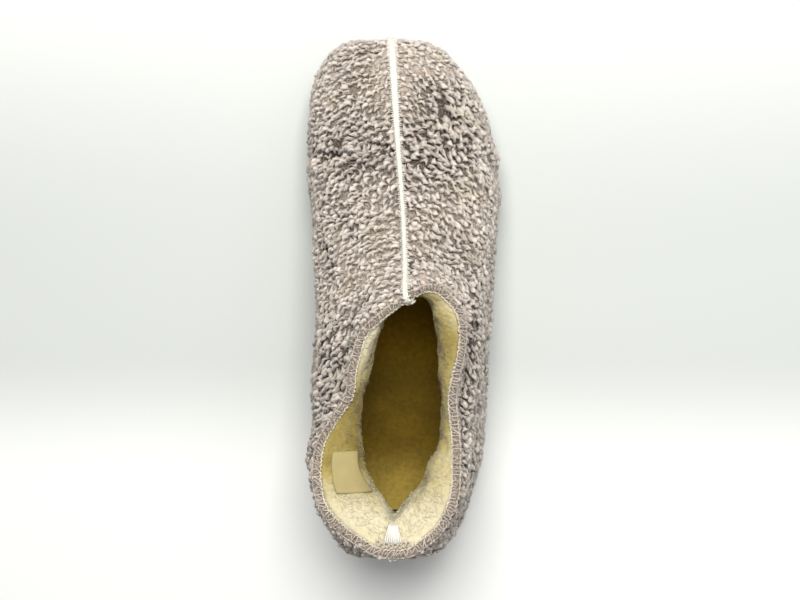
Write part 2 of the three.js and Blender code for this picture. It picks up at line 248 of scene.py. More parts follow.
def foldPath(fold):
    stops = np.array(fold["path"])
    count = 8 * (len(stops) - 1) + 1
    t = np.linspace(0, len(stops) - 1, count)
    around, up = resample(t, range(len(stops)), stops).T
    grid = climbRibs(ribCurves(fold["side"], around), up)
    return grid[range(count), range(count)]


def foldRelief(points):
    # millimetres to move each point along its normal: a trough with a low swell on both sides
    flat = points.reshape(-1, 3)
    relief = np.zeros(len(flat))
    for fold in folds:
        path = foldPath(fold)
        distance = np.sqrt(((flat[:, None] - path[None]) ** 2).sum(-1)).min(1)
        relief -= fold["depth"] * np.exp(-(distance / fold["width"]) ** 2)
        relief += 0.3 * fold["depth"] * np.exp(-((distance - 2.1 * fold["width"]) / fold["width"]) ** 2)
    return relief.reshape(points.shape[:-1])


def cloudNoise(points, size, seed):
    # smooth noise from -1 to 1 whose lumps are about size across
    flat = points.reshape(-1, 3) / size
    base = np.floor(flat).astype(np.int64)
    t = flat - base
    t = t * t * (3 - 2 * t)
    total = np.zeros(len(flat))
    for corner in range(8):
        offset = np.array([corner & 1, corner >> 1 & 1, corner >> 2 & 1])
        key = (base + offset) @ np.array([127, 311, 743]) + seed * 1009
        value = np.sin(key * 12.9898) * 43758.5453
        value = (value - np.floor(value)) * 2 - 1
        weight = np.prod(np.where(offset == 1, t, 1 - t), axis=1)
        total += value * weight
    return total.reshape(points.shape[:-1])


# Where the pile stands in crisp, separate locks, placed from the photograph in mm over the plan;
# elsewhere it is brushed out and soft
crispPatches = table("name place reach crisp", (
    ("ball, outer side", (26, 82), 26, 0.9),
    ("toe, inner side", (-26, 72), 22, 0.75),
    ("beside the seam", (10, 62), 16, 0.4),
    ("toe tip", (-20, 112), 12, 0.4),
    ("instep, outer side", (26, 22), 18, 0.4),
    ("ankle, inner side", (-40, -45), 34, 1.0),
    ("ankle, outer side", (38, -35), 32, 1.0),
    ("heel, inner side", (-40, -105), 26, 0.8),
    ("heel, outer side", (40, -100), 30, 0.9),
    ("middle, inner side", (-24, 34), 18, 0.3),
    ("top of the toe", (6, 118), 22, -0.35),
    ("below the instep, outer side", (14, 0), 18, -0.3),
))


def patchSum(points, patches, key):
    total = np.zeros(points.shape[:-1])
    for patch in patches:
        away = ((points[..., :2] - np.array(patch["place"])) ** 2).sum(-1) / patch["reach"] ** 2
        total += patch[key] * np.exp(-away)
    return total


def pileCrispness(points):
    # fold troughs count as crisp, which also darkens them: painted shade in the creases
    troughs = np.clip(-foldRelief(points) / 3, 0, 1)
    return np.clip(0.12 + 0.22 * cloudNoise(points, 15, 51) + patchSum(points, crispPatches, "crisp")
                   + troughs, 0, 1)


def clothRelief(points, arounds):
    # the folds, soft swells and the draw of the seams
    relief = foldRelief(points) + 0.9 * cloudNoise(points, 17, 3) + 0.45 * cloudNoise(points, 6.5, 33)
    return relief - boot["grooveDepth"] * 0.8 * seamCloseness(arounds)[None]


def makeMesh(name, points, faces, smooth=True):
    mesh = bpy.data.meshes.new(name)
    mesh.from_pydata((np.asarray(points).reshape(-1, 3) * mm).tolist(), [], faces)
    mesh.validate()
    if smooth:
        mesh.shade_smooth()
    obj = bpy.data.objects.new(name, mesh)
    collection.objects.link(obj)
    return obj


def loopFaces(rows, width, closedRows):
    faces = []
    for row in range(rows if closedRows else rows - 1):
        following = (row + 1) % rows
        for i in range(width):
            j = (i + 1) % width
            faces.append((row * width + i, row * width + j, following * width + j, following * width + i))
    return faces


def gridFaces(rows, width):
    return [(r * width + i, r * width + i + 1, (r + 1) * width + i + 1, (r + 1) * width + i)
            for r in range(rows - 1) for i in range(width - 1)]


def faceOutward(obj, mergeDistance=1e-6):
    shell = bmesh.new()
    shell.from_mesh(obj.data)
    bmesh.ops.remove_doubles(shell, verts=shell.verts, dist=mergeDistance)
    bmesh.ops.recalc_face_normals(shell, faces=shell.faces)
    if shell.calc_volume(signed=True) < 0:
        bmesh.ops.reverse_faces(shell, faces=shell.faces)
    shell.to_mesh(obj.data)
    shell.free()
    return obj


def setAttributes(obj, **attributes):
    # a number or a vector at each point of the mesh; one number stands for all points
    count = len(obj.data.vertices)
    for name, values in attributes.items():
        values = np.asarray(values, float)
        if values.size < count:
            values = np.full(count, float(values))
        kind, field = ("FLOAT_VECTOR", "vector") if values.size == 3 * count else ("FLOAT", "value")
        obj.data.attributes.new(name, kind, "POINT").data.foreach_set(field, values.ravel())


def linear(hexColour):
    channels = [int(hexColour[i:i + 2], 16) / 255 for i in (1, 3, 5)]
    return tuple(c / 12.92 if c <= 0.04045 else ((c + 0.055) / 1.055) ** 2.4 for c in channels) + (1.0,)


def addNode(tree, kind, inputs=None, **settings):
    # an input may be a value, a socket, or a node, which gives its first output
    node = tree.nodes.new(kind)
    for key, value in settings.items():
        setattr(node, key, value)
    for key, value in (inputs or {}).items():
        if isinstance(value, bpy.types.Node):
            value = value.outputs[0]
        if isinstance(value, bpy.types.NodeSocket):
            tree.links.new(value, node.inputs[key])
        else:
            node.inputs[key].default_value = value
    return node


def newMaterial(name, roughness, sheen=0.0, scatter=(0.0, 50.0)):
    # scatter: the share of light that passes under the surface, and how many mm it goes
    material = bpy.data.materials.new(name)
    material.use_nodes = True
    shader = material.node_tree.nodes["Principled BSDF"]
    for key, value in (("Roughness", roughness), ("Specular IOR Level", 0.25), ("Sheen Weight", sheen),
                       ("Sheen Roughness", 0.5), ("Subsurface Radius", (1.0, 0.95, 0.9)),
                       ("Subsurface Weight", scatter[0]), ("Subsurface Scale", scatter[1] * mm)):
        shader.inputs[key].default_value = value
    return material, functools.partial(addNode, material.node_tree)


def joinShader(material, colour, bump=None):
    tree = material.node_tree
    shader = tree.nodes["Principled BSDF"]
    tree.links.new(colour, shader.inputs["Base Color"])
    if bump is not None:
        tree.links.new(bump.outputs[0], shader.inputs["Normal"])
    return material


def lumps(add, size, detail=2.0, roughness=0.5):
    # a pattern whose lumps are size mm across
    place = add("ShaderNodeTexCoord").outputs["Object"]
    return add("ShaderNodeTexNoise",
               {"Vector": place, "Scale": 1000 / size, "Detail": detail, "Roughness": roughness})


def blend(add, share, first, second):
    # from one colour to another; a colour is a hex value or a mixed node
    ends = [linear(c) if isinstance(c, str) else c.outputs[2] for c in (first, second)]
    return add("ShaderNodeMix", {0: share, 6: ends[0], 7: ends[1]}, data_type="RGBA")


def shadedBy(add, colour, levels):
    # a colour times two levels
    level = add("ShaderNodeMath", {0: levels[0], 1: levels[1]}, operation="MULTIPLY")
    return add("ShaderNodeVectorMath", {0: colour, 3: level}, operation="SCALE").outputs[0]


def spanned(add, value, low, high, fromLow=0.0, fromHigh=1.0, interpolation="LINEAR"):
    return add("ShaderNodeMapRange",
               {"Value": value, "From Min": fromLow, "From Max": fromHigh, "To Min": low,
               "To Max": high}, interpolation_type=interpolation)


def bumped(add, strength, depth, height):
    # depth in mm
    return add("ShaderNodeBump", {"Strength": strength, "Distance": depth * mm, "Height": height})


# Curly fleece: knitted polyester pile brushed and set in small locks. Each lock has a painted highlight at
# its crest and painted shade at its foot, and is streaked by its fibres.
fleece = {
    # foot is painted shade in the crevices between locks; crest is a painted highlight on the locks' tops
    "foot": "#483c33",
    "body": "#cfc0b3",
    "crest": "#faf2ea",
    # the crisp level is painted shade: crisp pile and the fold troughs are darker
    "softLevel": 1.2,  # brushed pile is paler
    "crispShadeLevel": 0.94,  # crisp pile is darker
    "warm": "#c4b598",  # a yellower tone in patches
    "lockTint": 0.13,  # how much one lock differs from the next
    "patchSize": 20.0,  # mm
    "grain": 0.9,  # mm
}


def curlyFleece():
    material, add = newMaterial("curly polyester fleece", 0.95, 0.45, (0.35, 1.5))
    lift, tint, crisp, strand = (add("ShaderNodeAttribute", attribute_name=name)
                                 for name in ("lift", "tint", "age", "strand"))
    streaks = add("ShaderNodeTexNoise", {"Vector": strand.outputs["Vector"], "Scale": 1.0, "Detail": 2.0})
    rough = add("ShaderNodeMath", {0: streaks, 1: lumps(add, fleece["grain"])}, operation="ADD")
    rise = add("ShaderNodeMath", {0: rough, 1: 0.75, 2: lift.outputs["Fac"]}, operation="MULTIPLY_ADD")
    # by height within a lock: painted highlight at the crest, painted shade at the foot
    crest = spanned(add, rise, 0.0, 1.0, 1.4, 2.3)
    foot = spanned(add, rise, 0.0, 1.0, 0.76, 1.42)
    warmth = spanned(add, lumps(add, fleece["patchSize"]), 0.0, 0.6, 0.52, 0.75)
    ground = blend(add, warmth, fleece["body"], fleece["warm"])
    pale = blend(add, crest, blend(add, foot, fleece["foot"], ground), fleece["crest"])
    spread = spanned(add, tint.outputs["Fac"], 1 - fleece["lockTint"], 1 + fleece["lockTint"])
    # crisp pile and fold troughs darkened as painted shade
    level = spanned(add, crisp.outputs["Fac"], fleece["softLevel"], fleece["crispShadeLevel"])
    return joinShader(material, shadedBy(add, pale.outputs[2], (spread, level)), bumped(add, 0.9, 0.5, rough))


# Lambswool lining: cream and open near the collar, where it is brushed up; towards the sole it darkens and
# yellows, mostly as painted shade of the boot's inside and partly as the real yellowing of trodden wool.
lining = {
    # shade and deep are painted shade inside the boot; deep also holds the yellowing of trodden wool
    "cream": "#d6cdaf",
    "shade": "#ac9b5c",
    "deep": "#74601c",
    # footbed colours are painted light and shade: a lit heel, a shaded waist, a toe brightened against its
    # shade
    "footbedLitHeel": "#a58f42",
    "footbedShadedWaist": "#67510f",
    "footbedToe": "#a87f10",
    "tuft": 2.0,  # mm
    "cloud": 14.0,
    "trodTuft": 2.4,
    "mat": 16.0,
}


def creamWool():
    # the wall's wool takes its tone from the "age" attribute: 0 fresh cream, 0.5 painted shade, 1 deeper
    # painted shade with the yellowing of trodden wool
    material, add = newMaterial("brushed lambswool", 0.95, 0.25, (0.4, 2.0))
    age = add("ShaderNodeAttribute", attribute_name="age").outputs["Fac"]
    tufts = lumps(add, lining["tuft"], 4.0, 0.65)
    shaded = blend(add, spanned(add, age, 0.0, 1.0, 0.0, 0.5), lining["cream"], lining["shade"])
    mixed = blend(add, spanned(add, age, 0.0, 1.0, 0.5, 1.0), shaded, lining["deep"])
    levels = (spanned(add, tufts, 0.84, 1.06, 0.3, 0.7),
              spanned(add, lumps(add, lining["cloud"]), 0.92, 1.05, 0.3, 0.7))
    return joinShader(material, shadedBy(add, mixed.outputs[2], levels), bumped(add, 0.7, 0.8, tufts))


def footbedWool():
    # footbed wool whose tone is painted light and shade: paler at the heel where light falls, darkest in the
    # shade of the waist, bright again at the toe; with matted patches
    material, add = newMaterial("footbed lambswool, painted light and shade", 0.95, 0.1)
    place = add("ShaderNodeTexCoord").outputs["Object"]
    ahead = add("ShaderNodeSeparateXYZ", {0: place}).outputs[1]
    tufts = lumps(add, lining["trodTuft"], 4.0)
    waist = spanned(add, ahead, 0.0, 1.0, -0.125, -0.085, "SMOOTHSTEP")
    toe = spanned(add, ahead, 0.0, 1.0, -0.055, -0.005, "SMOOTHSTEP")
    mixed = blend(add, toe, blend(add, waist, lining["footbedLitHeel"], lining["footbedShadedWaist"]),
                  lining["footbedToe"])
    levels = (spanned(add, tufts, 0.82, 1.12, 0.3, 0.7),
              spanned(add, lumps(add, lining["mat"], 3.0), 0.84, 1.12, 0.3, 0.7))
    return joinShader(material, shadedBy(add, mixed.outputs[2], levels), bumped(add, 0.8, 1.0, tufts))


def spunThread(name, hexColour, ply):
    # plied yarn: fine turns across the thread, drawn by a wave along it
    material, add = newMaterial(name, 0.8, 0.15)
    strand = add("ShaderNodeAttribute", attribute_name="strand").outputs["Vector"]
    tint = add("ShaderNodeAttribute", attribute_name="tint").outputs["Fac"]
    wave = add("ShaderNodeTexWave", {"Vector": strand, "Scale": ply, "Distortion": 0.6},
               bands_direction="DIAGONAL")
    turns = wave.outputs["Fac"]
    levels = (spanned(add, turns, 0.82, 1.04), spanned(add, tint, 0.9, 1.08))
    return joinShader(material, shadedBy(add, linear(hexColour)[:3], levels), bumped(add, 0.5, 0.3, turns))


def suedeSole():
    # buffed soft rubber: matt, with scuffs and a fine grain
    material, add = newMaterial("buffed soft rubber", 0.85)
    scuffed = blend(add, lumps(add, 30, 4.0), "#7a6f64", "#958a7d")
    return joinShader(material, scuffed.outputs[2], bumped(add, 0.35, 0.3, lumps(add, 1.2, 5.0)))


def wovenRibbon():
    # soft woven ribbon: a close weave, a faint mottle, and a dull olive tone that is painted shade of the
    # boot's inside
    material, add = newMaterial("woven ribbon", 0.7, 0.1)
    shadedMottle = blend(add, lumps(add, 7, 3.0), "#97895a", "#a89b6c")
    return joinShader(material, shadedMottle.outputs[2], bumped(add, 0.3, 0.2, lumps(add, 0.5)))


finishes = {
    "fleece": curlyFleece(),
    "wool": creamWool(),
    "footbed": footbedWool(),
    "cotton": spunThread("white cotton cord", "#f3eedf", 1.6),
    "whiteThread": spunThread("white sewing thread", "#faf6ee", 6.0),
    "greigeThread": spunThread("greige overlock yarn", "#d3c7b9", 6.0),
    "creamThread": spunThread("cream sewing thread", "#ece3ce", 6.0),
    "sole": suedeSole(),
    "ribbon": wovenRibbon(),
}
print("finishes made")


def sweptThread(name, path, radius, sides, flatten=1.0):
    # a closed thread or lock along a path; strand holds the place round and along it
    path = np.asarray(path, float)
    radius = np.broadcast_to(np.asarray(radius, float), (len(path),))
    tangents = unit(np.gradient(path, axis=0))
    level = np.array([0.0, 0.0, 1.0])
    points = []
    strand = []
    lengths = lengthAlong(path)
    for p, t, r, s in zip(path, tangents, radius, lengths):
        across = np.cross(level, t)
        if np.linalg.norm(across) < 1e-3:
            across = np.array([0.0, 1.0, 0.0])
        across /= np.linalg.norm(across)
        lifted = np.cross(t, across)
        for k in range(sides):
            turn = 2 * math.pi * k / sides
            points.append(p + r * (across * math.cos(turn) + lifted * flatten * math.sin(turn)))
            strand.append((math.cos(turn), math.sin(turn), s))
    faces = loopFaces(len(path), sides, False)
    faces.append(tuple(range(sides))[::-1])
    faces.append(tuple((len(path) - 1) * sides + k for k in range(sides)))
    obj = makeMesh(name, points, faces)
    return obj, np.array(strand)


lockShape = {
    "streaksRound": 4.5,
    "streaksAlong": 0.6,  # per mm
    "strandTone": 0.16,  # how much one strand of a lock may be paler or darker than the next
    "kinds": {  # length and strand radius in mm; girth scales the table below
        "curled": {"length": 4.6, "girth": 0.9, "strand": 0.53},
        "brushed": {"length": 5.6, "girth": 0.76, "strand": 0.48},
    },
    # place across, rings along, radius; together they make one rounded lock
    "strands": ((-0.95, 3, 0.85), (-0.45, 4, 1.0), (0.05, 4, 1.15), (0.5, 4, 1.0), (0.95, 3, 0.8)),
    "variants": (  # hook: sideways bend; hump: height; girth: half width; all in shares of the length
        {"hook": 0.12, "hump": 0.27, "girth": 0.27, "curl": 1.1},
        {"hook": -0.16, "hump": 0.31, "girth": 0.25, "curl": -1.0},
        {"hook": 0.27, "hump": 0.25, "girth": 0.23, "curl": 1.7},
        {"hook": -0.29, "hump": 0.27, "girth": 0.24, "curl": -1.8},
        {"hook": 0.04, "hump": 0.35, "girth": 0.31, "curl": 0.8},
        {"hook": -0.06, "hump": 0.23, "girth": 0.33, "curl": -0.7},
        {"hook": 0.35, "hump": 0.21, "girth": 0.22, "curl": 2.2},
        {"hook": -0.20, "hump": 0.36, "girth": 0.29, "curl": -1.4},
    ),
}


def makeLocks(kindName):
    # small hooked locks of a few strands that rise from the cloth, lie over, draw together and dip again
    kind = lockShape["kinds"][kindName]
    shapes = bpy.data.collections.new(kindName + " locks")
    chance = np.random.default_rng(12)
    size = kind["length"]
    for index, variant in enumerate(lockShape["variants"]):
        points, faces, marks, lifts = [], [], [], []
        girth = variant["girth"] * kind["girth"]
        for place, rings, thick in lockShape["strands"]:
            t = np.linspace(0, 1, rings)
            turn = 0.5 * variant["curl"] * (t - 0.3)
            spread = place * girth * (1 - 0.45 * t)
            high = 0.55 * girth * (1 - place ** 2)
            path = np.stack([
                (t - 0.5) * 0.92 + chance.uniform(-0.05, 0.05),
                variant["hook"] * np.sin(math.pi * t) * (1 + 0.5 * t) + spread * np.cos(turn) - high
                * np.sin(turn),
                variant["hump"] * np.sin(math.pi * (0.12 + 0.76 * t)) - 0.1 + spread * np.sin(turn) + high
                * np.cos(turn),
            ], 1) * size
            along = unit(np.gradient(path, axis=0))
            across = unit(np.cross(np.array([0.0, 0.0, 1.0]), along))
            lifted = np.cross(along, across)
            first = len(points)
            tone = chance.uniform(-1, 1) * lockShape["strandTone"]
            for ring, share in enumerate(t):
                swell = 0.55 + 0.6 * math.sin(math.pi * (0.15 + 0.62 * share)) if share < 1 else 0.35
                reach = kind["strand"] * thick * swell
                for k in range(3):
                    spin = 2 * math.pi * k / 3 + math.pi / 2 + chance.uniform(-0.3, 0.3)
                    p = path[ring] + reach * (1.2 * across[ring] * math.cos(spin)
                                              + 0.9 * lifted[ring] * math.sin(spin))
                    points.append(p)
                    marks.append((math.cos(spin) * lockShape["streaksRound"] + 9.1 * place,
                                  math.sin(spin) * lockShape["streaksRound"],
                                  share * size * lockShape["streaksAlong"]))
                    # height within the lock, which the fleece paints as a highlight at the crest and shade at
                    # the foot
                    lifts.append(np.clip((p[2] / size + 0.2) / 0.68, 0, 1) + tone)
            faces.extend(tuple(first + v for v in f) for f in loopFaces(rings, 3, False))
            faces.append((first + 2, first + 1, first))
            faces.append(tuple(first + (rings - 1) * 3 + k for k in range(3)))
        obj = makeMesh(f"{kindName} lock {index}", points, faces)
        setAttributes(obj, strand=np.array(marks) + index * 7.3, lift=lifts)
        collection.objects.unlink(obj)
        shapes.objects.link(obj)
    return shapes


def makeStrand(name, path, radius, sides):
    shapes = bpy.data.collections.new(name)
    obj, strand = sweptThread(name, path, radius, sides)
    setAttributes(obj, strand=strand, lift=0.9)
    collection.objects.unlink(obj)
    shapes.objects.link(obj)
    return shapes


def addInput(tree, name, kind):
    return tree.interface.new_socket(name=name, in_out="INPUT", socket_type=kind).identifier


def coverTree(name, scattered):
    # puts shapes on a carrier, scattered over its faces or one at each of its points, turned to its
    # "rise" and "flow" attributes
    tree = bpy.data.node_groups.new(name, "GeometryNodeTree")
    add = functools.partial(addNode, tree)
    ids = {key: addInput(tree, key, kind) for key, kind in (
        ("carrier", "NodeSocketGeometry"), ("shapes", "NodeSocketCollection"), ("spacing", "NodeSocketFloat"),
        ("smallest", "NodeSocketFloat"), ("largest", "NodeSocketFloat"), ("lean", "NodeSocketFloat"),
        ("turn", "NodeSocketFloat"), ("zone", "NodeSocketInt"), ("seed", "NodeSocketInt"),
        ("finish", "NodeSocketMaterial"))}
    tree.interface.new_socket(name="Cover", in_out="OUTPUT", socket_type="NodeSocketGeometry")
    given = add("NodeGroupInput")
    rise, flow, zone, cover, scale, age = (
        add("GeometryNodeInputNamedAttribute", {"Name": key}, data_type=kind) for key, kind in (
            ("rise", "FLOAT_VECTOR"), ("flow", "FLOAT_VECTOR"), ("zone", "FLOAT"), ("cover", "FLOAT"),
            ("size", "FLOAT"), ("age", "FLOAT")))
    points = given.outputs["carrier"]
    if scattered:
        spread = add("GeometryNodeDistributePointsOnFaces", {"Mesh": given.outputs["carrier"],
            "Distance Min": given.outputs["spacing"], "Density Max": 1500000.0, "Density Factor": cover,
            "Seed": given.outputs["seed"]}, distribute_method="POISSON")
        points = spread.outputs["Points"]
    apart = add("ShaderNodeMath", {0: zone, 1: given.outputs["zone"]}, operation="SUBTRACT")
    inside = add("ShaderNodeMath", {0: apart, 1: 0.0, 2: 0.5}, operation="COMPARE")
    kept = add("GeometryNodeSeparateGeometry", {"Geometry": points, "Selection": inside}, domain="POINT")
    frameTurn = add("FunctionNodeAxesToRotation", {0: rise, 1: flow})
    limit = add("ShaderNodeCombineXYZ", {0: given.outputs["lean"], 1: given.outputs["lean"],
        2: given.outputs["turn"]})
    opposite = add("ShaderNodeVectorMath", {0: limit, 3: -1.0}, operation="SCALE")
    wobble = add("FunctionNodeRandomValue", {0: opposite, 1: limit, "Seed": given.outputs["seed"]},
        data_type="FLOAT_VECTOR")
    euler = add("FunctionNodeEulerToRotation", {0: wobble})
    turned = add("FunctionNodeRotateRotation", {0: frameTurn, 1: euler}, rotation_space="LOCAL")
    nextSeed = add("ShaderNodeMath", {0: given.outputs["seed"], 1: 1.0}, operation="ADD")
    growth = add("FunctionNodeRandomValue", {0: given.outputs["smallest"], 1: given.outputs["largest"],
        "Seed": nextSeed}, data_type="FLOAT_VECTOR")
    sized = add("ShaderNodeVectorMath", {0: growth, 3: scale}, operation="SCALE")
    lastSeed = add("ShaderNodeMath", {0: given.outputs["seed"], 1: 2.0}, operation="ADD")
    choice = add("FunctionNodeRandomValue", {4: 0, 5: 7, "Seed": lastSeed}, data_type="INT")
    shapes = add("GeometryNodeCollectionInfo", {0: given.outputs["shapes"], 1: True, 2: True},
        transform_space="ORIGINAL")
    placed = add("GeometryNodeInstanceOnPoints", {"Points": kept.outputs["Selection"], "Instance": shapes,
        "Pick Instance": True, "Instance Index": choice.outputs[2], "Rotation": turned, "Scale": sized})
    tone = add("FunctionNodeRandomValue", {2: 0.0, 3: 1.0, "Seed": 77}, data_type="FLOAT")
    toned = add("GeometryNodeStoreNamedAttribute", {"Geometry": placed, "Name": "tint",
        "Value": tone.outputs[1]}, data_type="FLOAT", domain="INSTANCE")
    withShadeAndWear = add("GeometryNodeStoreNamedAttribute", {"Geometry": toned, "Name": "age", "Value": age},
        data_type="FLOAT", domain="INSTANCE")
    real = add("GeometryNodeRealizeInstances", {0: withShadeAndWear})
    finished = add("GeometryNodeSetMaterial", {0: real, "Material": given.outputs["finish"]})
    add("NodeGroupOutput", {0: finished})
    return tree, ids


scatterTree, scatterIds = coverTree("scatter over a surface", True)
rowTree, rowIds = coverTree("set one at each point", False)


def coverWith(name, carrier, scattered, **values):
    # runs the tree on a carrier and keeps the result as a plain mesh
    tree, ids = (scatterTree, scatterIds) if scattered else (rowTree, rowIds)
    modifier = carrier.modifiers.new("cover", "NODES")
    modifier.node_group = tree
    for key, value in values.items():
        modifier[ids[key]] = value
    evaluated = carrier.evaluated_get(bpy.context.evaluated_depsgraph_get())
    mesh = bpy.data.meshes.new_from_object(evaluated)
    mesh.name = name
    carrier.modifiers.remove(modifier)
    obj = bpy.data.objects.new(name, mesh)
    collection.objects.link(obj)
    mesh.shade_smooth()
    print(name, sum(len(p.vertices) - 2 for p in mesh.polygons), "triangles")
    return obj


def drop(obj):
    bpy.data.objects.remove(obj)


def dress(obj, finish, replaced=()):
    if finish is not None:
        obj.data.materials.clear()
        obj.data.materials.append(finish)
    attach(obj, "root")
    if replaced:
        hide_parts(*replaced)
    return obj


# Backing cloth of the fleece, closed all round: the ground between the locks, coloured dark as painted shade,
# darkest under crisp pile
backing = {"ribsPerSide": 90, "rows": 72, "backRows": 14, "backCover": 1.4, "softSink": 0.7,
           "crispSink": 2.4, "softGroundShade": 0.35, "crispGroundShade": 0.0}


def makeBacking():
    up = np.linspace(0, 1, backing["rows"])
    points, normals, _, arounds = bootLoop(backing["ribsPerSide"], up)
    relief = (clothRelief(points, arounds) + 0.35 * cloudNoise(points, 3, 5)) * np.clip(up * 8, 0, 1)[:, None]
    crisp = pileCrispness(points)
    sink = backing["softSink"] + (backing["crispSink"] - backing["softSink"]) * crisp
    outer = points + normals * (relief - sink)[..., None]
    backUp = np.linspace(1, 0, backing["backRows"])
    backPoints, backNormals, _, _ = bootLoop(backing["ribsPerSide"], backUp)
    inner = backPoints - backNormals * (wallAt(backUp) - backing["backCover"])[:, None, None]
    rows = np.concatenate([outer, inner])
    obj = makeMesh("fleece_backing", rows, loopFaces(len(rows), rows.shape[1], True))
    # the ground's lift sets its painted shade: dark under brushed pile, darkest under crisp pile
    tone = backing["softGroundShade"] + (backing["crispGroundShade"] - backing["softGroundShade"]) * crisp
    setAttributes(obj, lift=np.concatenate([tone, np.zeros(inner.shape[:2])]),
                  age=np.concatenate([crisp, np.ones(inner.shape[:2])]), tint=0.5)
    faceOutward(obj)
    return dress(obj, finishes["fleece"], ("upper",))


# The pile: locks lie outward from the seam and back towards the heel
pile = {
    "ribsPerSide": 150,
    "rows": 120,
    "sink": 1.0,  # mm below the cloth's outer surface, where a lock's middle starts
    "spacing": 2.6,  # mm between locks
    "crispThinning": 0.16,  # share of the locks that crisp patches lack
    "seamClear": 2.6,  # mm kept free beside the cord
    "collarClear": 0.3,  # mm kept free for the overlock edge
    "soleClear": 1.5,
    "zones": ((-1, 45), (1, 45), (-1, -45), (1, -45), (-1, -400), (1, -400)),  # side, and the lowest y
}


zoneNames = ("toe_inner", "toe_outer", "instep_inner", "instep_outer", "heel_inner", "heel_outer")


def makePile():
    up = np.linspace(0, 1, pile["rows"])
    points, normals, sides, arounds = bootLoop(pile["ribsPerSide"], up)
    points = points + normals * (clothRelief(points, arounds) - pile["sink"])[..., None]
    width = points.shape[1]
    sideGrid = np.broadcast_to(sides, points.shape[:2])
    ribLength = np.linalg.norm(np.diff(points, axis=0), axis=-1)
    climbed = np.concatenate([np.zeros((1, width)), np.cumsum(ribLength, axis=0)])
    toCollar = climbed[-1:] - climbed
    seamFront = points[:, :1]
    seamBack = points[:, width // 2:width // 2 + 1]
    toSeam = np.minimum(np.linalg.norm(points - seamFront, axis=-1),
                        np.linalg.norm(points - seamBack, axis=-1))
    cover = (climbed > pile["soleClear"]) & (toCollar > pile["collarClear"]) & (toSeam > pile["seamClear"])
    drift = np.stack([0.62 * sideGrid, np.full_like(sideGrid, -0.72), np.full_like(sideGrid, -0.3)], -1)
    swirl = cloudNoise(points, 14, 11)[..., None] * np.cross(normals, drift)
    flow = drift + 0.65 * swirl
    flow = unit(flow - normals * (flow * normals).sum(-1, keepdims=True))
    zone = np.zeros(points.shape[:2])
    for index, (side, lowest) in enumerate(pile["zones"]):
        highest = 400 if index < 2 else pile["zones"][index - 2][1]
        zone[(sideGrid == side) & (points[..., 1] >= lowest) & (points[..., 1] < highest)] = index
    crisp = pileCrispness(points)
    rearward = np.clip((20 - points[..., 1]) / 60, 0, 1)
    fineness = 0.92 - 0.12 * rearward + 0.16 * crisp + 0.14 * cloudNoise(points, 9, 21)
    carrier = makeMesh("pile carrier", points, loopFaces(len(up), width, False))
    setAttributes(carrier, rise=normals, flow=flow, cover=cover * (1 - pile["crispThinning"] * crisp),
                  zone=zone, size=fineness, age=crisp)
    locks = {kind: makeLocks(kind) for kind in lockShape["kinds"]}
    for index, zoneName in enumerate(zoneNames):
        kind = "brushed" if zoneName == "heel_inner" else "curled"
        piece = coverWith("pile_" + zoneName, carrier, True, shapes=locks[kind],
            spacing=pile["spacing"] * mm, smallest=0.7, largest=1.3, lean=0.34, turn=0.42, zone=index,
            seed=4, finish=finishes["fleece"])
        dress(piece, None)
    return carrier


# Fuzz: loose fibre ends that stand off the locks
fuzz = {"spacing": 1.6, "length": 2.8, "radius": 0.11}


def makeFuzz(carrier):
    path = np.array([[0.0, 0.0, 0.3], [1.0, 0.1, 0.75]]) * fuzz["length"]
    fibre = makeStrand("fibre end", path, fuzz["radius"] * np.array([1, 0.5]), 3)
    for index, zoneName in enumerate(zoneNames):
        piece = coverWith("fuzz_" + zoneName, carrier, True, shapes=fibre, spacing=fuzz["spacing"] * mm,
            smallest=0.5, largest=1.2, lean=0.5, turn=3.1, zone=index, seed=31, finish=finishes["fleece"])
        dress(piece, None)


# Lining: long cream wool that swells inward below the collar's edge
wool = {
    "ribsPerSide": 130,
    "rows": 80,
    "behind": 1.2,
    "tuck": 1.4,  # mm the wool reaches under the collar's edge
    "crestAt": 0.5,  # share of the way down from the edge at which the wool stands furthest in
    "cleft": 2.2,  # mm deep where the back seam draws the wool apart
    "hairSpacing": 1.0,
    "hairLength": 3.6,
    "hairRadius": 0.15,
}

# The line that the wool swells to, as a ring like those of the boot
woolCrest = {
    "name": "wool crest", "front": -0.014, "back": -0.412, "roundness": (0.6, 1.0), "seamTurn": 30,
    "half": (0.17, 0.172, 0.176, 0.196, 0.206, 0.19, 0.13),
    "axis": (0.067, 0.053, 0.039, 0.023, 0.012, -0.008, -0.012),
    "height": (0.76, 0.76, 0.75, 0.74, 0.74, 0.76, 0.78),
}


